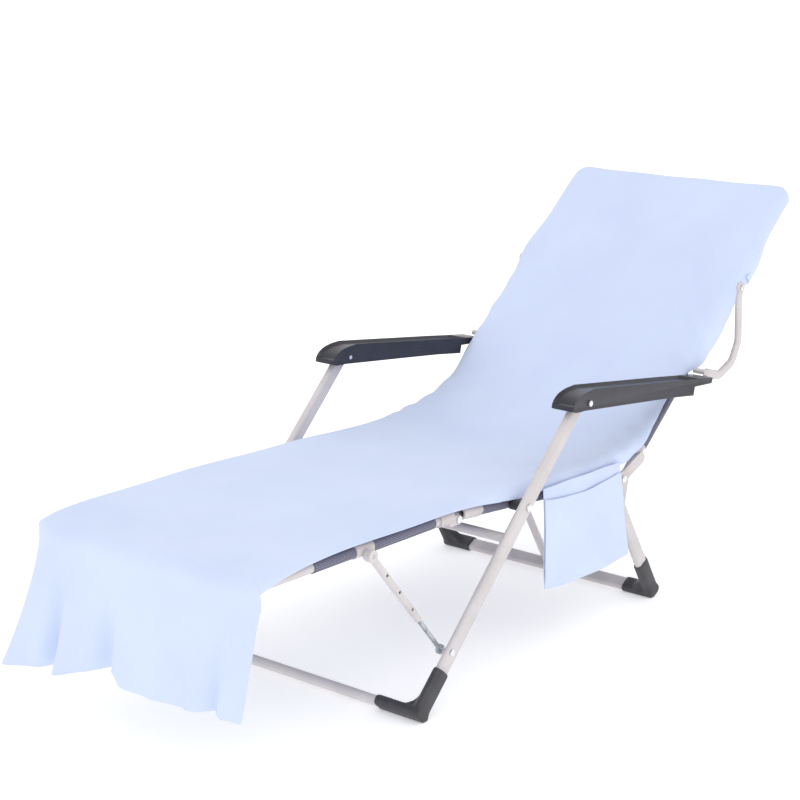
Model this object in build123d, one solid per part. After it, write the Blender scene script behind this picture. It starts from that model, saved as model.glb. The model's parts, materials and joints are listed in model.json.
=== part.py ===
from build123d import *
import math
import os

# A folding reclining sun lounger in a fitted towel cover. X runs from the foot end
# to the head end, Y across the bed, Z up from the ground. Millimetres.

CENTRE = 284.06          # side-view x of the middle of the whole object, which becomes X = 0
BED_Y = 255.0            # half the distance between the round bed rails
RAIL_R = 9.5             # round bed rail, 19 mm tube
SLEEVE_R = 11.0          # mesh sleeve drawn over the rail
GAP = 0.3                # air between pieces that only pass each other
WALL = 1.2               # wall of every steel tube
OVAL_BROAD = 30.0        # oval leg tube, 30 x 15 mm
OVAL_THIN = 15.0
LEG_A_Y = 297.0          # front leg frame, which also carries the armrests
LEG_B_Y = 262.0          # rear leg frame, inside the front one
PLATE_Y = 270.0          # inner face of the rear hinge plate
PLATE_T = 3.0
RIVET_R = 4.0
RUN = 0.05               # radial clearance of a turning rivet
STRUT_Y = 277.0
STRUT_R = 6.0            # half the strut's eye across the bed
STRUT_BROAD = 19.0       # flattened strut tube, 19 x 10 mm
STRUT_THIN = 10.0
STAY_Y = 277.0
STAY_R = 6.8
MESH_T = 2.0
TOWEL_T = 5.0
TOWEL_LIFT = 13.0        # towel's underside above the rail axis
POCKET_Y = 281.0
POCKET_T = 3.5
ARMREST_HALF = 24.7
CAP_WALL = 3.0
WORN_FLAT = 2.0          # how much of a shoe's round is cut flat where it stands

# Side view points, before CENTRE is taken off x.
SEAT_FRONT = (22, 331)       # rail axis over the leg rest hinge
KNUCKLE = (22, 323)          # leg rest hinge
FOOT_END = (-475, 338)
SEAT_REAR = (496, 283)
BACK_PIVOT = (517, 279)
BACK_START = (556, 284)
BACK_TOP = (1112, 752)
LEG_A_PIVOT = (171, 315)
LEG_A_FOOT = (-139, 7.5)
ARM_PIVOT = (335, 478)
LEG_B_PIVOT = (508, 240)
LEG_B_FOOT = (638, 7.5)
STAY_TOP = (-227, 327)
STAY_FOOT = (-50, 105)
CROSSBAR = (124, 266)

os.makedirs("parts", exist_ok=True)


def point(side, y):
    return Vector(side[0] - CENTRE, y, side[1])


def between(a, b, share):
    return (a[0] + (b[0] - a[0]) * share, a[1] + (b[1] - a[1]) * share)


def length(a, b):
    return math.hypot(b[0] - a[0], b[1] - a[1])


def along(a, b, distance):
    return between(a, b, distance / length(a, b))


def run_plane(start, end, across):
    return Plane(origin=start, x_dir=across, z_dir=(end - start).normalized())


def rod(start, end, radius):
    return extrude(run_plane(start, end, square_to(end - start)) * Circle(radius), (end - start).length)


def square_to(direction):
    flat = Vector(0, 1, 0)
    if abs(direction.normalized().Y) > 0.9:
        flat = Vector(1, 0, 0)
    return direction.cross(flat).normalized()


def pipe(start, end, radius):
    return rod(start, end, radius) - rod(start, end, radius - WALL)


def oval_bar(start, end, thin_way, grow=0.0):
    section = SlotOverall(OVAL_BROAD + 2 * grow, OVAL_THIN + 2 * grow, rotation=90)
    return extrude(run_plane(start, end, thin_way) * section, (end - start).length)


def oval_pipe(start, end, thin_way):
    return oval_bar(start, end, thin_way) - oval_bar(start, end, thin_way, -WALL)


def cross_rod(side, y_low, y_high, radius):
    return rod(point(side, y_low), point(side, y_high), radius)


def side_plate(outline, y_low, y_high):
    """A flat plate or wall whose outline lies in the side view."""
    corners = [(x - CENTRE, z) for x, z in outline]
    face = Plane.XZ.offset(-y_low) * make_face(Polyline(*corners, close=True))
    return extrude(face, -(y_high - y_low))


def link_plate(a, b, radius, y_low, y_high):
    """A flat link with round ends about two side view points."""
    ends = cross_rod(a, y_low, y_high, radius) + cross_rod(b, y_low, y_high, radius)
    reach = length(a, b)
    slope = (-(b[1] - a[1]) / reach * radius, (b[0] - a[0]) / reach * radius)
    web = [(a[0] + slope[0], a[1] + slope[1]), (b[0] + slope[0], b[1] + slope[1]),
           (b[0] - slope[0], b[1] - slope[1]), (a[0] - slope[0], a[1] - slope[1])]
    return ends + side_plate(web, y_low, y_high)


def bed_plane(start, end, lift):
    """The plane of a bed panel, whose z points up out of the bed."""
    way = (point(end, 0) - point(start, 0)).normalized()
    up = Vector(-way.Z, 0, way.X) * (1 if way.X > 0 else -1)
    return Plane(origin=point(between(start, end, 0.5), 0) + up * lift, x_dir=way, z_dir=up)


def mirrored(shape):
    return mirror(shape, about=Plane.XZ)


def save(name, *shapes):
    solids = []
    for shape in shapes:
        solids.extend(shape.solids())
    export_step(Compound(children=solids), f"parts/{name}.step")


def save_pair(name, shape):
    """The near one is at -Y and the far one at +Y."""
    save("near_" + name, mirrored(shape))
    save("far_" + name, shape)


def save_both(name, shape):
    save(name, shape, mirrored(shape))


# Bed rails, mesh and its sleeves.

def leg_rest_frame():
    bar = pipe(point(FOOT_END, -BED_Y - RAIL_R), point(FOOT_END, BED_Y + RAIL_R), RAIL_R)
    solid_bar = rod(point(FOOT_END, -BED_Y - RAIL_R), point(FOOT_END, BED_Y + RAIL_R), RAIL_R + 0.02)
    rail = pipe(point(FOOT_END, BED_Y), point(along(SEAT_FRONT, FOOT_END, 14), BED_Y), RAIL_R)
    save("leg_rest_foot_bar", bar)
    save_pair("leg_rest_rail", rail - solid_bar)


def seat_frame():
    start = along(SEAT_FRONT, SEAT_REAR, 14)
    save_pair("seat_rail", pipe(point(start, BED_Y), point(SEAT_REAR, BED_Y), RAIL_R))
    cross = pipe(point(SEAT_REAR, -BED_Y + RAIL_R + GAP), point(SEAT_REAR, BED_Y - RAIL_R - GAP), 8)
    save("seat_rear_cross_tube", cross)


def back_frame():
    bar = pipe(point(BACK_TOP, -BED_Y - RAIL_R), point(BACK_TOP, BED_Y + RAIL_R), RAIL_R)
    solid_bar = rod(point(BACK_TOP, -BED_Y - RAIL_R), point(BACK_TOP, BED_Y + RAIL_R), RAIL_R + 0.02)
    rail = pipe(point(BACK_START, BED_Y), point(BACK_TOP, BED_Y), RAIL_R)
    save("back_top_bar", bar)
    save_pair("back_rail", rail - solid_bar)


def sling(name, start, end):
    """A stretched mesh panel, and the sleeves that hold it on the rails."""
    inner = BED_Y - SLEEVE_R - 2
    panel_plane = bed_plane(start, end, 0)
    panel = extrude(panel_plane * Rectangle(length(start, end), 2 * inner), MESH_T / 2, both=True)
    save(name + "_mesh", panel)
    sleeve = rod(point(start, BED_Y), point(end, BED_Y), SLEEVE_R)
    save_both(name + "_mesh_sleeves", sleeve - rod(point(start, BED_Y), point(end, BED_Y), RAIL_R + 0.1))


# Hinges of the bed.

def leg_rest_hinge():
    seat_end = along(SEAT_FRONT, SEAT_REAR, 14)
    seat_far = along(SEAT_FRONT, SEAT_REAR, 62)
    rest_end = along(SEAT_FRONT, FOOT_END, 14)
    rest_far = along(SEAT_FRONT, FOOT_END, 50)
    collar_r = RAIL_R + 3
    hole = cross_rod(KNUCKLE, BED_Y - 20, BED_Y + 20, RIVET_R + RUN)
    seat_collar = rod(point(seat_end, BED_Y), point(seat_far, BED_Y), collar_r)
    seat_collar -= rod(point(seat_end, BED_Y), point(seat_far, BED_Y), RAIL_R + 0.05)
    seat_ear = link_plate(KNUCKLE, (seat_end[0] + 4, seat_end[1] - 8), 8.5, BED_Y - 9, BED_Y - 1)
    seat_ear -= rod(point(seat_end, BED_Y), point(seat_far, BED_Y), RAIL_R + 0.05)
    rest_collar = rod(point(rest_end, BED_Y), point(rest_far, BED_Y), collar_r)
    rest_collar -= rod(point(rest_end, BED_Y), point(rest_far, BED_Y), RAIL_R + 0.05)
    rest_ear = link_plate(KNUCKLE, (rest_end[0] - 4, rest_end[1] - 8), 8.5, BED_Y, BED_Y + 9)
    rest_ear -= rod(point(rest_end, BED_Y), point(rest_far, BED_Y), RAIL_R + 0.05)
    save_pair("leg_rest_hinge_seat_half", seat_collar + seat_ear - hole)
    save_pair("leg_rest_hinge_foot_half", rest_collar + rest_ear - hole)
    pin = cross_rod(KNUCKLE, BED_Y - 9.5, BED_Y + 9.5, RIVET_R)
    head = cross_rod(KNUCKLE, BED_Y + 9.5, BED_Y + 11.5, 6.5)
    save_both("leg_rest_hinge_pins", pin + head)


def back_hinge():
    plate = link_plate(BACK_PIVOT, LEG_B_PIVOT, 17, PLATE_Y, PLATE_Y + PLATE_T)
    anchor = (487, 284)
    plate += link_plate(BACK_PIVOT, anchor, 13, PLATE_Y, PLATE_Y + PLATE_T)
    for pivot in (BACK_PIVOT, LEG_B_PIVOT, anchor):
        plate -= cross_rod(pivot, PLATE_Y - 1, PLATE_Y + PLATE_T + 1, RIVET_R + RUN)
    save_both("rear_hinge_plates", plate)
    lug_low = BED_Y + RAIL_R + GAP
    lug = link_plate(BACK_PIVOT, along(BACK_START, BACK_TOP, 34), 12, lug_low, PLATE_Y - GAP)
    lug -= cross_rod(BACK_PIVOT, lug_low - 1, PLATE_Y + 1, RIVET_R + RUN)
    save_both("back_hinge_lugs", lug)
    rivets = cross_rod(BACK_PIVOT, lug_low, PLATE_Y + PLATE_T, RIVET_R)
    rivets += cross_rod(BACK_PIVOT, PLATE_Y + PLATE_T + 0.1, PLATE_Y + PLATE_T + 2.5, 7)
    rivets += cross_rod(BACK_PIVOT, PLATE_Y + PLATE_T - 0.5, PLATE_Y + PLATE_T + 0.2, RIVET_R)
    low = cross_rod(LEG_B_PIVOT, LEG_B_Y - OVAL_THIN / 2, PLATE_Y + PLATE_T + 0.2, RIVET_R)
    low += cross_rod(LEG_B_PIVOT, PLATE_Y + PLATE_T + 0.1, PLATE_Y + PLATE_T + 2.5, 7)
    tie = cross_rod(anchor, BED_Y + RAIL_R + 0.05, PLATE_Y + PLATE_T + 0.2, RIVET_R)
    tie += cross_rod(anchor, PLATE_Y + PLATE_T + 0.1, PLATE_Y + PLATE_T + 2.5, 6)
    save_both("rear_hinge_rivets", rivets + low + tie)
    ring = rod(point(along(BACK_START, BACK_TOP, 36), BED_Y), point(along(BACK_START, BACK_TOP, 46), BED_Y),
               RAIL_R + 2.5)
    ring -= rod(point(BACK_START, BED_Y), point(BACK_TOP, BED_Y), RAIL_R + 0.05)
    ring -= link_plate(BACK_PIVOT, along(BACK_START, BACK_TOP, 34), 12.2, lug_low - 0.2, PLATE_Y)
    save_both("back_rail_rings", ring)


# Leg frames.

def floor_point(pivot, foot):
    """The floor tube's centre, so that the shoes stand on the ground."""
    reach = length(pivot, foot)
    way = ((foot[0] - pivot[0]) / reach, (foot[1] - pivot[1]) / reach)
    height = (OVAL_BROAD - OVAL_THIN) / 2 * abs(way[0]) + OVAL_THIN / 2 + CAP_WALL - WORN_FLAT
    return (foot[0] + way[0] / way[1] * (height - foot[1]), height)


def leg_frame(pivot, foot, leg_y, top, cap_leg, cap_floor):
    """One oval leg, the oval floor tube and the plastic shoe where they meet."""
    way = Vector(foot[0] - pivot[0], 0, foot[1] - pivot[1]).normalized()
    low = floor_point(pivot, foot)
    leg_end = along(low, pivot, OVAL_THIN / 2 + 0.1)
    leg = oval_pipe(point(leg_end, leg_y), point(top, leg_y), Vector(0, 1, 0))
    floor_half = leg_y + OVAL_THIN / 2
    floor = oval_pipe(point(low, -floor_half), point(low, floor_half), way)
    leg_core = oval_bar(point(leg_end, leg_y), point(top, leg_y), Vector(0, 1, 0), 0.05)
    floor_core = oval_bar(point(low, -floor_half - 0.05), point(low, floor_half + 0.05), way, 0.05)
    cap = oval_bar(point(low, leg_y), point(along(low, pivot, cap_leg), leg_y), Vector(0, 1, 0), CAP_WALL)
    inner_end = point(low, leg_y - cap_floor)
    cap += oval_bar(inner_end, point(low, floor_half + CAP_WALL), way, CAP_WALL)
    above_ground = Pos(0, 0, 1000) * Box(4000, 2000, 2000)
    return leg, floor, (cap - leg_core - floor_core) & above_ground


def front_legs():
    top = along(ARM_PIVOT, LEG_A_PIVOT, -6)
    leg, floor, cap = leg_frame(LEG_A_PIVOT, LEG_A_FOOT, LEG_A_Y, top, 88, 92)
    hole_y = (LEG_A_Y - 20, LEG_A_Y + 20)
    leg -= cross_rod(ARM_PIVOT, *hole_y, RIVET_R + RUN)
    leg -= cross_rod(LEG_A_PIVOT, *hole_y, RIVET_R + RUN)
    leg -= cross_rod(STAY_FOOT, *hole_y, RIVET_R + RUN)
    save_pair("front_leg", leg)
    save("front_floor_tube", floor)
    save_pair("front_foot", cap)
    bar_end = LEG_A_Y - OVAL_THIN / 2 - GAP
    save("front_leg_crossbar", pipe(point(CROSSBAR, -bar_end), point(CROSSBAR, bar_end), 9))
    clip = Pos(point((CROSSBAR[0], CROSSBAR[1] + 10.6), -140)) * Box(14, 16, 3)
    save("crossbar_clip", clip)
    stay_bolt = cross_rod(STAY_FOOT, LEG_A_Y - OVAL_THIN / 2 - 3, LEG_A_Y + OVAL_THIN / 2, RIVET_R)
    stay_bolt += cross_rod(STAY_FOOT, LEG_A_Y + OVAL_THIN / 2, LEG_A_Y + OVAL_THIN / 2 + 2, 6)
    save_both("stay_foot_bolts", stay_bolt)


def seat_pivots():
    """The black spacer and bolt that join each seat rail to its front leg."""
    low = BED_Y + SLEEVE_R + 0.4
    high = LEG_A_Y - OVAL_THIN / 2 - GAP
    spacer = cross_rod(LEG_A_PIVOT, low, high, 10)
    spacer -= cross_rod(LEG_A_PIVOT, low - 1, high + 1, RIVET_R + RUN)
    save_both("seat_pivot_spacers", spacer)
    bolt = cross_rod(LEG_A_PIVOT, low, LEG_A_Y + OVAL_THIN / 2 + 0.4, RIVET_R)
    bolt += cross_rod(LEG_A_PIVOT, LEG_A_Y + OVAL_THIN / 2 + 0.3, LEG_A_Y + OVAL_THIN / 2 + 3, 7)
    save_both("seat_pivot_bolts", bolt)


def rear_legs():
    top = along(LEG_B_PIVOT, LEG_B_FOOT, -14)
    leg, floor, cap = leg_frame(LEG_B_PIVOT, LEG_B_FOOT, LEG_B_Y, top, 84, 62)
    leg -= cross_rod(LEG_B_PIVOT, LEG_B_Y - 20, LEG_B_Y + 20, RIVET_R + RUN)
    save_pair("rear_leg", leg)
    save("rear_floor_tube", floor)
    save_pair("rear_foot", cap)
    cross = along(LEG_B_PIVOT, LEG_B_FOOT, 34)
    end = LEG_B_Y - OVAL_THIN / 2 - GAP
    save("rear_leg_cross_tube", pipe(point(cross, -end), point(cross, end), 8))
    post_top = along(LEG_B_PIVOT, LEG_B_FOOT, 34 + 8.3)
    post_low = along(floor_point(LEG_B_PIVOT, LEG_B_FOOT), LEG_B_PIVOT, OVAL_THIN / 2 + 0.4)
    save("rear_leg_centre_post", pipe(point(post_top, -4), point(post_low, -4), 8))


# Leg rest stays.

def stays():
    share = (STAY_TOP[0] - FOOT_END[0]) / (SEAT_FRONT[0] - FOOT_END[0])
    rail_at = between(FOOT_END, SEAT_FRONT, share)
    start = along(rail_at, FOOT_END, 22)
    end = along(rail_at, SEAT_FRONT, 22)
    saddle = rod(point(start, BED_Y), point(end, BED_Y), SLEEVE_R + 1.5)
    saddle -= rod(point(start, BED_Y), point(end, BED_Y), SLEEVE_R + 0.1)
    boss = cross_rod(STAY_TOP, BED_Y + SLEEVE_R + 0.4, STAY_Y - STAY_R - GAP, 9)
    stub = cross_rod(STAY_TOP, BED_Y + SLEEVE_R + 0.4, STAY_Y + STAY_R - 1, RIVET_R)
    saddle = saddle + (boss - rod(point(start, BED_Y), point(end, BED_Y), SLEEVE_R + 0.1)) + stub
    save_both("stay_saddles", saddle)
    tube_end = along(STAY_TOP, STAY_FOOT, 190)
    head = cross_rod(STAY_TOP, STAY_Y - STAY_R, STAY_Y + STAY_R, 11)
    tube = rod(point(STAY_TOP, STAY_Y), point(tube_end, STAY_Y), STAY_R) + head
    bore_start = along(STAY_TOP, STAY_FOOT, 16)
    tube -= rod(point(bore_start, STAY_Y), point(tube_end, STAY_Y), 4.6)
    tube -= cross_rod(STAY_TOP, STAY_Y - 20, STAY_Y + 20, RIVET_R + RUN)
    for step in (55, 105, 157):
        tube -= cross_rod(along(STAY_TOP, STAY_FOOT, step), STAY_Y - 20, STAY_Y + 20, 3)
    save_pair("stay_tube", tube)
    bar_start = along(STAY_TOP, STAY_FOOT, 110)
    bar_end = along(STAY_FOOT, STAY_TOP, 6)
    bar = rod(point(bar_start, STAY_Y), point(bar_end, STAY_Y), 4.2)
    eye = cross_rod(STAY_FOOT, STAY_Y - 3, STAY_Y + 3, 9) - cross_rod(STAY_FOOT, STAY_Y - 9, STAY_Y + 9, 4.2)
    save_pair("stay_bar", bar - cross_rod(STAY_FOOT, STAY_Y - 9, STAY_Y + 9, 4.2) + eye)


# Back struts and armrests.

def struts():
    bends = [(919, 592), (918, 552), (919, 480), (896, 440), (846, 421), (798, 436)]
    path = FilletPolyline(*[point(bend, STRUT_Y) for bend in bends], radius=32)
    section = SlotOverall(STRUT_BROAD, STRUT_THIN, rotation=90)
    tube = sweep(Plane(origin=path @ 0, x_dir=(0, 1, 0), z_dir=path % 0) * section, path=path)
    eye = cross_rod(bends[0], STRUT_Y - STRUT_R, STRUT_Y + STRUT_R, 11)
    hole = cross_rod(bends[0], STRUT_Y - 20, STRUT_Y + 20, RIVET_R + RUN)
    tip = link_plate((763, 448), (800, 436), 5.5, STRUT_Y - 5, STRUT_Y + 22)
    save_pair("back_strut", tube + eye - hole + tip)
    bracket = link_plate(bends[0], along(BACK_START, BACK_TOP, 471), 9, BED_Y + SLEEVE_R + 0.4,
                         STRUT_Y - STRUT_R - GAP)
    bracket -= cross_rod(bends[0], BED_Y, STRUT_Y, RIVET_R + RUN)
    save_both("strut_brackets", bracket)
    pin = cross_rod(bends[0], BED_Y + SLEEVE_R + 0.4, STRUT_Y + STRUT_R + 0.4, RIVET_R)
    pin += cross_rod(bends[0], STRUT_Y + STRUT_R + 0.3, STRUT_Y + STRUT_R + 2.3, 6)
    save_both("strut_pins", pin)


def armrests():
    outline = [(282, 473), (288, 487), (304, 497), (328, 502), (353, 503), (560, 472), (684, 453),
               (755, 442), (751, 431), (690, 436), (686, 419), (607, 431), (319, 467), (291, 469)]
    inner = [(297, 455), (297, 480), (312, 492), (330, 497), (353, 498), (560, 467), (676, 449),
             (676, 400), (297, 400)]
    body = side_plate(outline, LEG_A_Y - ARMREST_HALF, LEG_A_Y + ARMREST_HALF)
    body -= side_plate(inner, LEG_A_Y - 11, LEG_A_Y + 11)
    body -= cross_rod(ARM_PIVOT, LEG_A_Y - 40, LEG_A_Y + 40, RIVET_R + RUN)
    save_pair("armrest", body)
    bolt = cross_rod(ARM_PIVOT, LEG_A_Y - ARMREST_HALF, LEG_A_Y + ARMREST_HALF + 0.2, RIVET_R)
    bolt += cross_rod(ARM_PIVOT, LEG_A_Y + ARMREST_HALF + 0.1, LEG_A_Y + ARMREST_HALF + 2.6, 5.5)
    save_both("armrest_bolts", bolt)


# Towel cover.

def back_point(past_top, out):
    """A side view point past the top bar's axis, and out from the back on the person's side."""
    reach = length(BACK_START, BACK_TOP)
    way = ((BACK_TOP[0] - BACK_START[0]) / reach, (BACK_TOP[1] - BACK_START[1]) / reach)
    return (BACK_TOP[0] + way[0] * past_top - way[1] * out, BACK_TOP[1] + way[1] * past_top + way[0] * out)


def towel_slab(name, start, end, lift, y_half, thick):
    save(name, extrude(bed_plane(start, end, lift) * Rectangle(length(start, end), 2 * y_half), thick))


def towel():
    towel_slab("towel_leg_rest", (-486, 338), (14, 331), TOWEL_LIFT, 267, TOWEL_T)
    towel_slab("towel_seat", (30, 330), (505, 282), TOWEL_LIFT, 267, TOWEL_T)
    towel_slab("towel_back", along(BACK_START, BACK_TOP, 46), along(BACK_TOP, BACK_START, 1), TOWEL_LIFT, 267,
               TOWEL_T)
    front = [(-490, 352), (-496, 352), (-570, 105), (-564, 105)]
    side = [(-492, 348), (-566, 108), (-520, 125), (-440, 318), (-440, 348)]
    skirt = side_plate(front, -272, 272)
    for y in (268, -273):
        skirt += side_plate(side, y, y + 5)
    save("towel_foot_skirt", skirt)
    hood = [back_point(0, 18.5), back_point(19, 18.5), back_point(19, -18), back_point(-150, -18),
            back_point(-150, -13), back_point(13, -13), back_point(13, 13.5), back_point(0, 13.5)]
    save("towel_back_hood", side_plate(hood, -267, 267))
    pocket = [(248, 306), (488, 300), (520, 127), (251, 127)]
    save_both("towel_side_pockets", side_plate(pocket, POCKET_Y, POCKET_Y + POCKET_T))


leg_rest_frame()
seat_frame()
back_frame()
sling("leg_rest", (-350, 336.2), (-42, 331.9))
sling("seat", along(SEAT_FRONT, SEAT_REAR, 70), (470, 285.6))
sling("back", along(BACK_START, BACK_TOP, 62), along(BACK_START, BACK_TOP, length(BACK_START, BACK_TOP) - 12))
leg_rest_hinge()
back_hinge()
front_legs()
seat_pivots()
rear_legs()
stays()
struts()
armrests()
towel()
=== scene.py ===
import bpy
import json
import math
import numpy as np
from mathutils import Matrix, Vector


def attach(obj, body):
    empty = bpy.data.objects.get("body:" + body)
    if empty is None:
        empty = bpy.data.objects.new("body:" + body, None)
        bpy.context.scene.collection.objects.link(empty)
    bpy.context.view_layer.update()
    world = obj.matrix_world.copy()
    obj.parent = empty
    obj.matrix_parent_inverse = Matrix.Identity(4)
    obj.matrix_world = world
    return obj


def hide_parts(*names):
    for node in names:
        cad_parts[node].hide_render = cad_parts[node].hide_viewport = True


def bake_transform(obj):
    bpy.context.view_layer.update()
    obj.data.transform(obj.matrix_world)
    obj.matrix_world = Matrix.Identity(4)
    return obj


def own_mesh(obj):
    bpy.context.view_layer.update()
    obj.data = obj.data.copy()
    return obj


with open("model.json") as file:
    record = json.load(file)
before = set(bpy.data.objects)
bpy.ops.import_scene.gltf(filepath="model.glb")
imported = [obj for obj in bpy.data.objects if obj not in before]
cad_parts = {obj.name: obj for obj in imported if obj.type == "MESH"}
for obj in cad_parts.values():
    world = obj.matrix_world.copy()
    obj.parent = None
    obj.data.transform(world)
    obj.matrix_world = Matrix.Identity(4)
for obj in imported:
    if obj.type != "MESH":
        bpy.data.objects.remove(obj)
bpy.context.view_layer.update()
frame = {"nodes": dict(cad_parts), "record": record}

nodes = frame["nodes"]
middleX = 0.28406        # metres from the side view's zero to the object's middle


def side(x, z, y=0.0):  # a point of the side view, given in millimetres, at y metres across
    return Vector((x / 1000 - middleX, y, z / 1000))


# camera, light and floor
cameraSettings = {"place": (-2.8750, -2.4091, 1.4424), "azimuth": -0.8537, "elevation": 0.26,
                  "roll": -0.017, "lens": 90.63, "sensor": 36, "farEnd": 60}
stageSettings = {"world": 0.96, "lampSize": 3.0, "lampTarget": (0, 0, 0.3), "floorSize": 40,
                 "floorHeight": -0.0005, "floorColour": (0.9, 0.9, 0.9), "floorGlow": 0.38}
lamps = {"keyLight": ((-1.6, -2.6, 3.6), 26), "fillLight": ((-3.2, 1.6, 2.4), 8)}    # place, power


def makeCamera(s):
    az, el, roll = s["azimuth"], s["elevation"], s["roll"]
    back = Vector((math.sin(az) * math.cos(el), -math.cos(az) * math.cos(el), math.sin(el)))
    right = Vector((math.cos(az), math.sin(az), 0))
    up = back.cross(right)
    turnedRight = right * math.cos(roll) + up * math.sin(roll)
    turnedUp = up * math.cos(roll) - right * math.sin(roll)
    data = bpy.data.cameras.new("camera")
    data.lens = s["lens"]
    data.sensor_width = s["sensor"]
    data.clip_end = s["farEnd"]
    cam = bpy.data.objects.new("camera", data)
    turn = Matrix((turnedRight, turnedUp, back)).transposed().to_4x4()
    cam.matrix_world = Matrix.Translation(s["place"]) @ turn
    bpy.context.collection.objects.link(cam)
    bpy.context.scene.camera = cam


def makeAreaLight(name, place, target, size, power):
    data = bpy.data.lights.new(name, "AREA")
    data.energy = power
    data.size = size
    lamp = bpy.data.objects.new(name, data)
    lamp.location = place
    aim = Vector(target) - Vector(place)
    lamp.rotation_euler = aim.to_track_quat("-Z", "Y").to_euler()
    bpy.context.collection.objects.link(lamp)


def makeStage(s):
    bpy.ops.object.select_all(action="DESELECT")
    bpy.ops.mesh.primitive_plane_add(size=s["floorSize"], location=(0, 0, s["floorHeight"]))
    floor = bpy.context.object
    floor.name = "studioFloor"
    mat = bpy.data.materials.new("paleFloor")
    mat.use_nodes = True
    bsdf = mat.node_tree.nodes["Principled BSDF"]
    bsdf.inputs["Base Color"].default_value = (*s["floorColour"], 1)
    bsdf.inputs["Roughness"].default_value = 0.9
    bsdf.inputs["Emission Color"].default_value = (1, 1, 1, 1)
    bsdf.inputs["Emission Strength"].default_value = s["floorGlow"]
    floor.data.materials.append(mat)
    world = bpy.data.worlds.new("studio")
    world.use_nodes = True
    world.node_tree.nodes["Background"].inputs[0].default_value = (1, 1, 1, 1)
    world.node_tree.nodes["Background"].inputs[1].default_value = s["world"]
    bpy.context.scene.world = world
    for name, (place, power) in lamps.items():
        makeAreaLight(name, place, s["lampTarget"], s["lampSize"], power)
    bpy.context.scene.view_settings.view_transform = "Standard"


makeCamera(cameraSettings)
makeStage(stageSettings)
print("camera and light ready")


# materials
def newMaterial(name, colour, roughness):
    mat = bpy.data.materials.new(name)
    mat.use_nodes = True
    bsdf = mat.node_tree.nodes["Principled BSDF"]
    bsdf.inputs["Base Color"].default_value = (*colour, 1)
    bsdf.inputs["Roughness"].default_value = roughness
    return mat, mat.node_tree, bsdf


def objectCoords(tree):
    return tree.nodes.new("ShaderNodeTexCoord").outputs["Object"]


def noise(tree, coords, scale, detail=3.0):
    node = tree.nodes.new("ShaderNodeTexNoise")
    node.inputs["Scale"].default_value = scale
    node.inputs["Detail"].default_value = detail
    tree.links.new(coords, node.inputs["Vector"])
    return node.outputs["Fac"]


def ramp(tree, factor, low, high, start, end):
    node = tree.nodes.new("ShaderNodeValToRGB")
    node.color_ramp.elements[0].position = start
    node.color_ramp.elements[1].position = end
    node.color_ramp.elements[0].color = (*low, 1)
    node.color_ramp.elements[1].color = (*high, 1)
    tree.links.new(factor, node.inputs["Fac"])
    return node.outputs["Color"]


def patchyColour(tree, bsdf, factor, low, high, start=0.35, end=0.65):
    tree.links.new(ramp(tree, factor, low, high, start, end), bsdf.inputs["Base Color"])


def bump(tree, height, bsdf, strength, distance):
    node = tree.nodes.new("ShaderNodeBump")
    node.inputs["Strength"].default_value = strength
    node.inputs["Distance"].default_value = distance
    tree.links.new(height, node.inputs["Height"])
    tree.links.new(node.outputs["Normal"], bsdf.inputs["Normal"])


def mathNode(tree, operation, *values):
    node = tree.nodes.new("ShaderNodeMath")
    node.operation = operation
    for socket, value in zip(node.inputs, values):
        if isinstance(value, (int, float)):
            socket.default_value = value
        else:
            tree.links.new(value, socket)
    return node.outputs[0]


def paintedSteel():
    s = {"low": (0.57, 0.535, 0.54), "high": (0.65, 0.61, 0.615), "patches": 14, "smudges": 60,
         "roughLow": 0.28, "roughSpread": 0.16, "coat": 0.15, "peel": 900}
    mat, tree, bsdf = newMaterial("warmGreyPaint", s["high"], 0.36)
    coords = objectCoords(tree)
    patchyColour(tree, bsdf, noise(tree, coords, s["patches"]), s["low"], s["high"])
    smudges = noise(tree, coords, s["smudges"])
    rough = mathNode(tree, "MULTIPLY_ADD", smudges, s["roughSpread"], s["roughLow"])
    tree.links.new(rough, bsdf.inputs["Roughness"])
    bsdf.inputs["Coat Weight"].default_value = s["coat"]
    bump(tree, noise(tree, coords, s["peel"], 1), bsdf, 0.12, 0.0004)
    return mat


def mouldedPlastic(name, low, high, roughness, grain, patches=22):
    mat, tree, bsdf = newMaterial(name, high, roughness)
    coords = objectCoords(tree)
    patchyColour(tree, bsdf, noise(tree, coords, patches), low, high)
    bump(tree, noise(tree, coords, grain, 2), bsdf, 0.25, 0.0004)
    return mat


def zincSteel(name, low, high, roughness):
    s = {"metallic": 0.85, "spangles": 140, "scratches": 700}
    mat, tree, bsdf = newMaterial(name, high, roughness)
    bsdf.inputs["Metallic"].default_value = s["metallic"]
    coords = objectCoords(tree)
    spangle = tree.nodes.new("ShaderNodeTexVoronoi")
    spangle.inputs["Scale"].default_value = s["spangles"]
    tree.links.new(coords, spangle.inputs["Vector"])
    patchyColour(tree, bsdf, spangle.outputs["Distance"], low, high, 0.1, 0.7)
    bump(tree, noise(tree, coords, s["scratches"], 2), bsdf, 0.1, 0.0003)
    return mat


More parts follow.
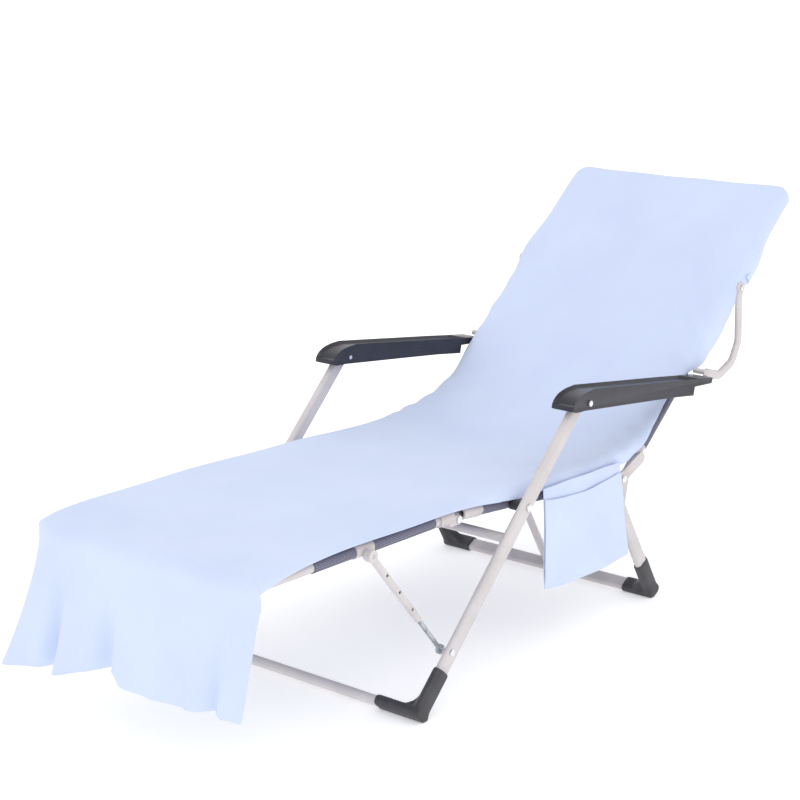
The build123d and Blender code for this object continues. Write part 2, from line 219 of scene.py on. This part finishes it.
def towelCloth():
    s = {"low": (0.585, 0.665, 0.885), "high": (0.615, 0.70, 0.91), "patches": 7, "sheen": 0.25,
         "sheenRoughness": 0.6, "specular": 0.15, "loops": 620, "loopShare": 0.55, "nap": 70,
         "napShare": 0.45}
    mat, tree, bsdf = newMaterial("blueTowelling", s["high"], 0.95)
    coords = objectCoords(tree)
    patchyColour(tree, bsdf, noise(tree, coords, s["patches"], 5), s["low"], s["high"])
    bsdf.inputs["Sheen Weight"].default_value = s["sheen"]
    bsdf.inputs["Sheen Roughness"].default_value = s["sheenRoughness"]
    bsdf.inputs["Specular IOR Level"].default_value = s["specular"]
    loops = mathNode(tree, "MULTIPLY", noise(tree, coords, s["loops"], 2), s["loopShare"])
    nap = mathNode(tree, "MULTIPLY", noise(tree, coords, s["nap"], 3), s["napShare"])
    bump(tree, mathNode(tree, "ADD", loops, nap), bsdf, 0.42, 0.0016)
    return mat


def meshCloth(useMap):  # diagonal weave, its low hollows painted dark as shade between the threads and its raised threads lighter, laid by the sheet's map or by the object's own axes
    s = {"dark": (0.085, 0.085, 0.13), "light": (0.27, 0.275, 0.37), "pitch": 0.0036}
    mat, tree, bsdf = newMaterial("slateMeshPanel" if useMap else "slateMeshSleeve", s["dark"], 0.6)
    coordNode = tree.nodes.new("ShaderNodeTexCoord")
    split = tree.nodes.new("ShaderNodeSeparateXYZ")
    tree.links.new(coordNode.outputs["UV" if useMap else "Object"], split.inputs[0])
    across = split.outputs[1]
    if not useMap:
        across = mathNode(tree, "ADD", split.outputs[1], split.outputs[2])
    diagonalA = mathNode(tree, "ADD", split.outputs[0], across)
    diagonalB = mathNode(tree, "SUBTRACT", split.outputs[0], across)
    waves = [mathNode(tree, "SINE", mathNode(tree, "MULTIPLY", line, math.pi / s["pitch"]))
             for line in (diagonalA, diagonalB)]
    height = mathNode(tree, "MULTIPLY", waves[0], waves[1])
    weaveHeightAndShade = mathNode(tree, "MULTIPLY_ADD", height, 0.5, 0.5)
    # colour follows the weave's height: painted shade in the hollows, lighter on the raised threads
    patchyColour(tree, bsdf, weaveHeightAndShade, s["dark"], s["light"], 0.3, 0.95)
    bump(tree, weaveHeightAndShade, bsdf, 0.5, 0.0008)
    return mat


finishes = {
    "paint": paintedSteel(),
    "armrest": mouldedPlastic("charcoalArmrest", (0.011, 0.011, 0.020), (0.018, 0.018, 0.033), 0.28, 500),
    "shoe": mouldedPlastic("blackShoe", (0.042, 0.041, 0.046), (0.062, 0.061, 0.068), 0.48, 600),
    "black": mouldedPlastic("blackSpacer", (0.02, 0.02, 0.023), (0.035, 0.035, 0.04), 0.5, 600),
    "nylon": mouldedPlastic("warmNylon", (0.56, 0.515, 0.515), (0.64, 0.59, 0.59), 0.42, 450),
    "ring": mouldedPlastic("milkyRing", (0.62, 0.64, 0.70), (0.76, 0.78, 0.84), 0.3, 500),
    "zinc": zincSteel("zincBar", (0.30, 0.32, 0.34), (0.52, 0.54, 0.57), 0.34),
    "bolt": zincSteel("boltZinc", (0.55, 0.56, 0.60), (0.80, 0.81, 0.84), 0.28),
    "towel": towelCloth(),
    "panel": meshCloth(True),
    "sleeve": meshCloth(False),
}
finishOfSlot = {"frame_paint": "paint", "foot_plastic": "shoe", "spacer_plastic": "black",
                "moulded_nylon": "nylon", "ring_plastic": "ring", "zinc_steel": "zinc", "bolt_steel": "bolt",
                "mesh_fabric": "sleeve", "armrest_plastic": "armrest", "towel_cloth": "towel"}
for part in frame["record"]["subparts"]:
    target = nodes[part["node"]]
    finish = finishes[finishOfSlot[part["material_slot"]]]
    if not target.material_slots:
        target.data.materials.append(finish)
    for holder in target.material_slots:
        holder.material = finish
print("finishes ready:", len(finishes))


# shared modelling steps
def choose(piece):
    bpy.ops.object.select_all(action="DESELECT")
    piece.select_set(True)
    bpy.context.view_layer.objects.active = piece


def startPiece(name):
    piece = bpy.context.object
    piece.name = name
    piece.data.name = name
    return piece


def useModifier(piece, kind, **values):
    mod = piece.modifiers.new(kind, kind)
    for key, value in values.items():
        setattr(mod, key, value)
    choose(piece)
    bpy.ops.object.modifier_apply(modifier=mod.name)


def finishPiece(piece, finish, angle=40):
    piece.data.materials.clear()
    piece.data.materials.append(finish)
    choose(piece)
    bpy.ops.object.shade_smooth_by_angle(angle=math.radians(angle))


def gridPiece(name, columns, rows, placeAt, flatSize):  # a sheet whose map is in metres of cloth
    bpy.ops.object.select_all(action="DESELECT")
    bpy.ops.mesh.primitive_grid_add(x_subdivisions=columns, y_subdivisions=rows, size=2, calc_uvs=True)
    piece = startPiece(name)
    corner = [(v.co.x / 2 + 0.5, v.co.y / 2 + 0.5) for v in piece.data.vertices]
    for vert, (u, v) in zip(piece.data.vertices, corner):
        vert.co = placeAt(u, v)
    layer = piece.data.uv_layers.active.data
    for loop in piece.data.loops:
        u, v = corner[loop.vertex_index]
        layer[loop.index].uv = (u * flatSize[0], v * flatSize[1])
    return piece


def smoothCurve(stations, count, perSpan=24):  # evenly spaced points on a soft line, and its length
    pts = np.array(stations, float)
    ends = np.vstack([2 * pts[0] - pts[1], pts, 2 * pts[-1] - pts[-2]])
    line = []
    for i in range(len(pts) - 1):
        a, b, c, d = ends[i:i + 4]
        for t in np.linspace(0, 1, perSpan, endpoint=False):
            line.append(0.5 * (2 * b + (c - a) * t + (2 * a - 5 * b + 4 * c - d) * t ** 2
                               + (3 * b - a - 3 * c + d) * t ** 3))
    line.append(pts[-1])
    line = np.array(line)
    steps = np.concatenate([[0], np.cumsum(np.hypot(*np.diff(line[:, :2], axis=0).T))])
    even = np.linspace(0, steps[-1], count)
    points = np.stack([np.interp(even, steps, column) for column in line.T], axis=1)
    return points, steps[-1]


def bell(x, centre, width):
    return math.exp(-((x - centre) / width) ** 2)


def bells(x, spots):  # a sum of bells, each given as height, place and width
    return sum(height * bell(x, place, width) for height, place, width in spots)


# mesh bed
panelSettings = {"halfWidth": 0.2425, "sag": 0.008, "thick": 0.0012, "columns": 40, "rows": 48}
panelRuns = {  # body, then where its panel starts and ends
    "leg_rest": ((-352, 336.2), (-42, 332)),
    "seat": ((92, 324), (470, 286)),
    "back": ((603, 324), (1103, 744)),
}
for label, (start, end) in panelRuns.items():
    a, b = side(*start), side(*end)
    reach = (b - a).length
    normal = Vector((-(b - a).z, 0, (b - a).x)).normalized()

    def panelPoint(u, v):
        across = (v * 2 - 1) * panelSettings["halfWidth"]
        dip = panelSettings["sag"] * (1 - (2 * v - 1) ** 2) * math.sin(math.pi * u) ** 0.5
        return a.lerp(b, u) + Vector((0, across, 0)) - normal * dip

    panel = gridPiece(label + "MeshPanel", panelSettings["columns"], panelSettings["rows"], panelPoint,
                      (reach, 2 * panelSettings["halfWidth"]))
    useModifier(panel, "SOLIDIFY", thickness=panelSettings["thick"], offset=0)
    finishPiece(panel, finishes["panel"])
    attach(panel, label)
    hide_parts(label + "_mesh")
print("mesh bed ready")


# the back's top bar, shortened to fit the cover's rounded corners
topBarSettings = {"at": (1112, 752), "radius": 0.0095, "half": 0.250, "edge": 0.0025}
bpy.ops.object.select_all(action="DESELECT")
bpy.ops.mesh.primitive_cylinder_add(vertices=48, radius=topBarSettings["radius"],
                                    depth=2 * topBarSettings["half"])
topBar = startPiece("backTopBar")
for vert in topBar.data.vertices:
    vert.co = side(*topBarSettings["at"]) + Vector((vert.co.x, -vert.co.z, vert.co.y))
useModifier(topBar, "BEVEL", width=topBarSettings["edge"], segments=3, limit_method="ANGLE",
            angle_limit=math.radians(50))
finishPiece(topBar, finishes["paint"])
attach(topBar, "back")
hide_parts("back_top_bar")


# armrests
armrestSettings = {"y": 0.297, "half": 0.0247, "rim": 0.0052, "dish": 0.0066, "panelInset": 0.006,
                   "panelDepth": 0.0010, "channelInset": 0.0125, "channelDepth": 0.022, "edge": 0.0028,
                   "dishFrom": 283, "dishTo": 706}
armrestOutline = [(282, 473), (284, 481), (288, 487), (295, 492.5), (304, 497), (315, 500), (328, 502),
                  (353, 503), (450, 488.5), (560, 472), (640, 460), (684, 453), (706, 449.5), (755, 442),
                  (751, 431), (690, 436), (686, 419), (607, 431), (480, 447), (319, 467), (305, 467.5),
                  (291, 469)]


def selectFaces(piece, wanted):
    bpy.ops.object.mode_set(mode="EDIT")
    bpy.ops.mesh.select_mode(type="FACE")
    bpy.ops.mesh.select_all(action="DESELECT")
    bpy.ops.object.mode_set(mode="OBJECT")
    for face in piece.data.polygons:
        face.select = wanted(face)
    bpy.ops.object.mode_set(mode="EDIT")


def isFlank(face):
    return abs(face.normal.y) > 0.9 and face.area > 0.01


def isUnderside(face):
    return face.normal.z < -0.9 and face.area > 0.006


def makeArmrest(prefix, sign, s):
    left, right = side(s["dishFrom"], 0).x, side(s["dishTo"], 0).x

    def isTop(face):
        facesUp = face.normal.z > 0.6 or face.normal.x < -0.3 < face.normal.z
        return facesUp and left < face.center.x < right

    bpy.ops.object.select_all(action="DESELECT")
    bpy.ops.mesh.primitive_circle_add(vertices=len(armrestOutline), fill_type="NGON")
    piece = startPiece(prefix + "ArmrestShell")
    for vert, (x, z) in zip(piece.data.vertices, armrestOutline):
        vert.co = side(x, z, sign * s["y"] - s["half"])
    bpy.ops.object.mode_set(mode="EDIT")
    bpy.ops.mesh.select_all(action="SELECT")
    bpy.ops.mesh.extrude_region_move(TRANSFORM_OT_translate={"value": (0, 2 * s["half"], 0)})
    bpy.ops.mesh.select_all(action="SELECT")
    bpy.ops.mesh.normals_make_consistent(inside=False)
    bpy.ops.object.mode_set(mode="OBJECT")
    selectFaces(piece, isTop)
    bpy.ops.mesh.inset(thickness=s["rim"], depth=-s["dish"])
    bpy.ops.object.mode_set(mode="OBJECT")
    selectFaces(piece, isFlank)
    bpy.ops.mesh.inset(thickness=s["panelInset"], depth=-s["panelDepth"])
    bpy.ops.object.mode_set(mode="OBJECT")
    selectFaces(piece, isUnderside)
    bpy.ops.mesh.inset(thickness=s["channelInset"], depth=0)
    bpy.ops.mesh.extrude_region_move(TRANSFORM_OT_translate={"value": (0, 0, s["channelDepth"])})
    bpy.ops.object.mode_set(mode="OBJECT")
    useModifier(piece, "BEVEL", width=s["edge"], segments=3, limit_method="ANGLE",
                angle_limit=math.radians(28))
    finishPiece(piece, finishes["armrest"], 35)
    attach(piece, "armrests")
    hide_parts(prefix + "_armrest")


makeArmrest("near", -1, armrestSettings)
makeArmrest("far", 1, armrestSettings)
print("armrests ready")


# corner shoes
shoeSettings = {"voxel": 0.0026, "smooth": 9, "weld": 0.00002, "webReach": 0.05, "webHalf": 0.009,
                "webCorner": 0.42}


def makeShoe(node, legY, sign, foot, legWay, body, s):
    bpy.ops.object.select_all(action="DESELECT")
    source = nodes[node]
    piece = source.copy()
    piece.data = source.data.copy()
    bpy.context.collection.objects.link(piece)
    piece.parent = None
    piece.matrix_world = Matrix()
    piece.name = node.replace("_", " ").title().replace(" ", "") + "Shoe"
    # a web fills the inside corner between the leg and the floor tube
    way = legWay.normalized()
    centre = foot + Vector((0, sign * legY, 0))
    bpy.ops.mesh.primitive_cube_add(size=1)
    web = bpy.context.object
    inward = Vector((0, -sign, 0))
    thick = way.cross(inward).normalized() * s["webHalf"]
    reach = s["webReach"]
    corners = {(-1, -1): centre, (1, -1): centre + way * reach, (-1, 1): centre + inward * reach,
               (1, 1): centre + (way + inward) * reach * s["webCorner"]}
    for vert in web.data.vertices:
        key = (1 if vert.co.x > 0 else -1, 1 if vert.co.y > 0 else -1)
        vert.co = corners[key] + thick * (1 if vert.co.z > 0 else -1)
    web.select_set(True)
    piece.select_set(True)
    bpy.context.view_layer.objects.active = piece
    bpy.ops.object.join()
    bpy.ops.object.mode_set(mode="EDIT")
    bpy.ops.mesh.select_all(action="SELECT")
    bpy.ops.mesh.remove_doubles(threshold=s["weld"])
    bpy.ops.object.mode_set(mode="OBJECT")
    useModifier(piece, "REMESH", mode="VOXEL", voxel_size=s["voxel"])
    useModifier(piece, "SMOOTH", factor=0.5, iterations=s["smooth"])
    for vert in piece.data.vertices:
        vert.co.z = max(vert.co.z, 0.0)
    finishPiece(piece, finishes["shoe"], 60)
    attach(piece, body)
    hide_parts(node)


frontWay = side(171, 315) - side(-139, 7.5)
rearWay = side(508, 240) - side(638, 7.5)
for prefix, sign in (("near", -1), ("far", 1)):
    makeShoe(prefix + "_front_foot", 0.297, sign, side(-134, 13), frontWay, "front_legs", shoeSettings)
    makeShoe(prefix + "_rear_foot", 0.262, sign, side(634, 13), rearWay, "rear_legs", shoeSettings)
print("shoes ready")


# towel cover
towelSettings = {"flat": 0.250, "edge": 0.2725, "roll": 0.017, "flatShare": 0.80, "rollShare": 0.6,
                 "thick": 0.0024, "width": 0.585, "columns": 100, "cornerRound": 0.047, "hoodWidth": 0.585,
                 "hangsFrom": 0.02}
# side (-1 near, 1 far, 0 both), share wider or narrower, place along the bed, how far it reaches
sideBulges = [(-1, 0.055, 950, 42), (1, 0.050, 930, 46), (0, -0.030, 662, 45), (1, -0.016, -486, 30)]
towelStations = [  # along the bed: x, height, how far the sides hang down
    (-486, 354, 22), (-457, 354.5, 15), (-404, 355, 7), (-350, 355, 4), (-280, 354.5, 3), (-130, 353, 3),
    (-40, 352, 4), (10, 351, 6), (71, 349.5, 10), (128, 348, 16), (187, 345.5, 21), (237, 342.5, 21),
    (285, 340, 22), (340, 337, 24), (392, 335, 26), (450, 336, 31), (485, 338.5, 34), (515, 342.5, 36),
    (560, 352, 27), (602, 366, 19), (646, 389, 9), (690, 423, 4), (722, 450, 11), (760, 483, 36),
    (805, 520, 46), (855, 562, 42), (900, 600, 30), (945, 638, 24), (1030, 709, 24), (1084, 752, 24),
    (1104, 766, 24), (1120, 771, 20), (1131, 766, 18), (1134, 756, 18)]
towelSplit = 262  # x where the leg rest towel ends and the seat towel begins
seatDips = [(5, -250, 180), (8, 190, 180), (22, 470, 110), (6, 800, 200)]
unevenness = [(0.0012, 9, 13, 1.1), (0.0009, 21, -17, 2.6), (0.0006, 11, 38, 3.9)]  # size, rates, shift
droopSettings = {"depth": 0.004, "at": -0.490, "width": 0.018, "from": 0.19, "over": 0.08}
creases = [(440, 1.1, 0.0028, 17), (490, 0.9, 0.0045, 17), (548, 0.7, 0.0042, 17), (612, 0.5, 0.0034, 17),
           (735, 0.8, 0.0034, 13), (790, 0.8, 0.0040, 13), (850, 0.8, 0.0030, 13)]  # x, slope, depth, width
creaseSettings = {"from": 0.12, "over": 0.15, "outer": 0.27}
flutters = [(0.004, 19, 500, 90), (0.0022, 14, 800, 60)]  # size, step, place, width


def crossSection(v, drop):  # across the bed: how far out, how far down
    share = v * 2 - 1
    hand = 1 if share >= 0 else -1
    share = abs(share)
    s = towelSettings
    if share <= s["flatShare"]:
        return hand * s["flat"] * share / s["flatShare"], 0.0
    rest = (share - s["flatShare"]) / (1 - s["flatShare"])
    roll = min(s["roll"], drop)
    if rest < s["rollShare"]:
        turn = rest / s["rollShare"] * math.pi / 2
        return hand * (s["flat"] + (s["edge"] - s["flat"]) * math.sin(turn)), roll * (1 - math.cos(turn))
    fall = (rest - s["rollShare"]) / (1 - s["rollShare"])
    return hand * s["edge"], roll + (drop - roll) * fall


def bulge(x, out):  # where the sides stand out round a strut or are pulled in
    return 1 + bells(x, [spot[1:] for spot in sideBulges if spot[0] * out >= 0])


def wrinkle(x, y):  # slow unevenness of laid cloth, and the far foot corner's droop, in metres
    s = droopSettings
    droop = s["depth"] * bell(x, s["at"], s["width"]) * max(0.0, (y - s["from"]) / s["over"]) ** 2
    return sum(size * math.sin(alongRate * x + acrossRate * y + shift)
               for size, alongRate, acrossRate, shift in unevenness) - droop


def seatSag(x):  # millimetres of dip in the middle of the bed
    return bells(x, seatDips)


def hanging(down):  # 0 on the bed, 1 where the sides hang freely
    return min(1, down / towelSettings["hangsFrom"])


def seatCreases(x, out, down):  # soft diagonal folds where seat and back meet
    s = creaseSettings
    reach = abs(out)
    near = max(0.0, reach - s["from"]) / s["over"]
    fold = sum(depth * bell(x, start + slope * (s["outer"] - reach) * 1000, width)
               for start, slope, depth, width in creases)
    flutter = sum(size * math.sin(x / step) * bell(x, place, width) for size, step, place, width in flutters)
    return fold * near + flutter * hanging(down)


def profilePoint(line, u, v, sagOf, foldsOf, widthOf):  # a point of cloth at shares u along, v across
    spot = u * (len(line) - 1)
    i = min(int(spot), len(line) - 2)
    t = spot - i
    x, z, drop = line[i] * (1 - t) + line[i + 1] * t
    low, high = line[max(i - 2, 0)], line[min(i + 3, len(line) - 1)]
    way = Vector((high[0] - low[0], 0, high[1] - low[1])).normalized()
    normal = Vector((-way.z, 0, way.x))
    out, down = crossSection(v, drop / 1000)
    inner = max(0.0, 1 - (out / towelSettings["flat"]) ** 2)
    lift = wrinkle(x / 1000, out) + foldsOf(x, out, down) - sagOf(x) / 1000 * inner
    return side(x, z, out * widthOf(u) * bulge(x, out)) + normal * (lift - down)


def roundedEnd(distance):  # how much narrower the cloth is near its rounded top corners
    s = towelSettings
    radius = s["cornerRound"]
    if distance >= radius:
        return 1.0
    return 1 - (radius - math.sqrt(radius ** 2 - (radius - distance) ** 2)) / s["edge"]


def clothFinish(piece):
    useModifier(piece, "SOLIDIFY", thickness=towelSettings["thick"], offset=0)
    finishPiece(piece, finishes["towel"], 55)


towelLine, towelLength = smoothCurve(towelStations, count=460)
splitShare = float(np.argmax(towelLine[:, 0] > towelSplit)) / (len(towelLine) - 1)


def towelPoint(u, v):
    return profilePoint(towelLine, u, v, seatSag, seatCreases,
                        lambda along: roundedEnd((1 - along) * towelLength / 1000))


frontLength = towelLength / 1000 * splitShare
towelFront = gridPiece("towelLegRest", 150, towelSettings["columns"],
                       lambda u, v: towelPoint(u * splitShare, v),
                       (frontLength, towelSettings["width"]))
clothFinish(towelFront)
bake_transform(towelFront)
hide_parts("towel_leg_rest")
print("leg rest towel ready")

rearLength = towelLength / 1000 - frontLength
towelRear = gridPiece("towelSeatAndBack", 270, towelSettings["columns"],
                      lambda u, v: towelPoint(splitShare + u * (1 - splitShare), v),
                      (rearLength, towelSettings["width"]))
clothFinish(towelRear)
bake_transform(towelRear)
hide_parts("towel_seat", "towel_back")
print("seat and back towel ready")

hoodStations = [(1134, 760, 20), (1131, 747, 20), (1120, 735, 20), (1060, 685, 20), (1000, 635, 20),
                (966, 607, 22), (950, 592, 26)]
hoodSettings = {"hem": 958, "hemReach": 45, "ripple": 0.003, "rippleRate": 34, "flutter": 0.004,
                "flutterStep": 9, "lift": 4}
hoodLine, hoodLength = smoothCurve(hoodStations, count=90)


def hoodFolds(x, out, down):  # the loose hem flares away from the back
    s = hoodSettings
    ripple = s["ripple"] * math.sin(out * s["rippleRate"])
    flutter = s["flutter"] * math.sin(x / s["flutterStep"]) * hanging(down)
    return (ripple + flutter) * bell(x, s["hem"], s["hemReach"])


hood = gridPiece("towelHood", 70, towelSettings["columns"],
                 lambda u, v: profilePoint(hoodLine, u, v, lambda x: -hoodSettings["lift"], hoodFolds,
                                           lambda along: roundedEnd(along * hoodLength / 1000)),
                 (hoodLength / 1000, towelSettings["hoodWidth"]))
clothFinish(hood)
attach(hood, "back")
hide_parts("towel_back_hood")
print("hood ready")

skirtSettings = {"edgeRoll": 0.030, "rollShare": 0.16, "returnLength": 0.040, "settleShare": 0.40,
                 "nearCorner": (0.2365, 0.036), "farCorner": (0.2025, 0.070), "farSpread": 0.085,
                 "spreadPower": 2.2, "pleatPower": 1.25, "cornerEase": 0.35, "lean": 0.042,
                 "flat": (0.25, 0.60)}
hemHeights = [(-0.275, 0.128), (-0.262, 0.138), (-0.23, 0.142), (-0.17, 0.138), (-0.09, 0.132),
              (-0.02, 0.138), (0.003, 0.152), (0.07, 0.137), (0.13, 0.123), (0.20, 0.110), (0.25, 0.105),
              (0.30, 0.102)]  # y, height
skirtPleats = [(0.036, 0.262, 0.030), (-0.034, 0.168, 0.016), (0.026, 0.118, 0.026),
               (-0.032, 0.040, 0.020), (0.012, -0.03, 0.030), (0.006, -0.100, 0.050),
               (0.010, -0.185, 0.020), (-0.016, -0.222, 0.012), (0.004, -0.252, 0.010)]


def skirtPoint(u, v):  # u runs down from the bed's edge, v across; the first row is the towel's own first row
    s = skirtSettings
    startX, startZ, startDrop = towelStations[0]
    topX, topZ = startX / 1000, startZ / 1000
    out, down = crossSection(v, startDrop / 1000)
    hand = 1 if v >= 0.5 else -1
    around = abs(out)
    if around >= towelSettings["flat"]:
        pastFlat = (abs(v * 2 - 1) - towelSettings["flatShare"]) / (1 - towelSettings["flatShare"])
        around = towelSettings["flat"] + pastFlat * s["returnLength"]
    cornerStart, radius = s["farCorner" if hand > 0 else "nearCorner"]
    angle = max(0.0, around - cornerStart) / radius
    wrapY = hand * (min(around, cornerStart) + radius * math.sin(angle))
    wrapX = radius * (1 - math.cos(angle))
    t = min(1.0, u / s["settleShare"])
    settled = t * t * (3 - 2 * t)
    topOut = out * bulge(startX, out)
    y = topOut + (wrapY - topOut) * settled
    hemY = wrapY * (1 + (s["farSpread"] if hand > 0 else 0))
    hemZ = np.interp(hemY, *zip(*hemHeights))
    if u < s["rollShare"]:
        turn = u / s["rollShare"] * math.pi / 2
        forward, z, fall = s["edgeRoll"] * math.sin(turn), topZ - s["edgeRoll"] * (1 - math.cos(turn)), 0.0
    else:
        fall = (u - s["rollShare"]) / (1 - s["rollShare"])
        forward = s["edgeRoll"]
        z = topZ - s["edgeRoll"] + (hemZ - topZ + s["edgeRoll"]) * fall
    deep = fall ** s["pleatPower"]
    rounded = 1 - wrapX / s["edgeRoll"] * (1 - s["cornerEase"] * deep)
    x = topX - forward * rounded - s["lean"] * fall - bells(wrapY, skirtPleats) * deep
    lift = wrinkle(topX, out) * (1 - settled)
    return Vector((x - middleX, y + (hemY - wrapY) * fall ** s["spreadPower"],
                   z - down * (1 - settled) + lift))


skirt = gridPiece("towelFootSkirt", 70, towelSettings["columns"], skirtPoint, skirtSettings["flat"])
clothFinish(skirt)
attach(skirt, "leg_rest")
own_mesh(skirt)
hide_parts("towel_foot_skirt")
print("foot skirt ready")

pocketSettings = {"y": 0.2825, "gap": 0.0035, "thick": 0.0016, "mouthSag": 11, "backLift": 20,
                  "bottomSag": 8, "wave": 0.0012, "flat": (0.26, 0.37)}
pocketCorners = {"frontTop": (247, 307), "rearTop": (489, 301), "frontLow": (251, 131), "rearLow": (521, 127)}


def makePocket(prefix, sign, s):
    def between(start, end, share):
        (startX, startZ), (endX, endZ) = pocketCorners[start], pocketCorners[end]
        return startX + (endX - startX) * share, startZ + (endZ - startZ) * share

    def pocketPoint(u, v):
        # v runs round the doubled cloth: front layer down, back layer up
        down = 1 - abs(2 * v - 1)
        layer = 1 if v < 0.5 else -1
        topX, topZ = between("frontTop", "rearTop", u)
        topZ += -s["mouthSag"] * math.sin(math.pi * min(1, u * 1.05)) ** 0.8 if layer > 0 else s["backLift"]
        lowX, lowZ = between("frontLow", "rearLow", u)
        lowZ -= s["bottomSag"] * math.sin(math.pi * u) ** 0.7
        x = topX + (lowX - topX) * down
        z = topZ + (lowZ - topZ) * down
        puff = s["gap"] / 2 * math.sin(math.pi * min(1.0, (1 - down) * 6) / 2)
        y = s["y"] + layer * puff + s["wave"] * math.sin(14 * u + 5 * down)
        return side(x, z, sign * y)

    pocket = gridPiece(prefix + "TowelPocket", 60, 72, pocketPoint, s["flat"])
    useModifier(pocket, "SOLIDIFY", thickness=s["thick"], offset=0)
    finishPiece(pocket, finishes["towel"], 55)
    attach(pocket, "seat")
    return pocket


nearPocket = makePocket("near", -1, pocketSettings)
makePocket("far", 1, pocketSettings)
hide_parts("towel_side_pockets")
print("pockets ready")
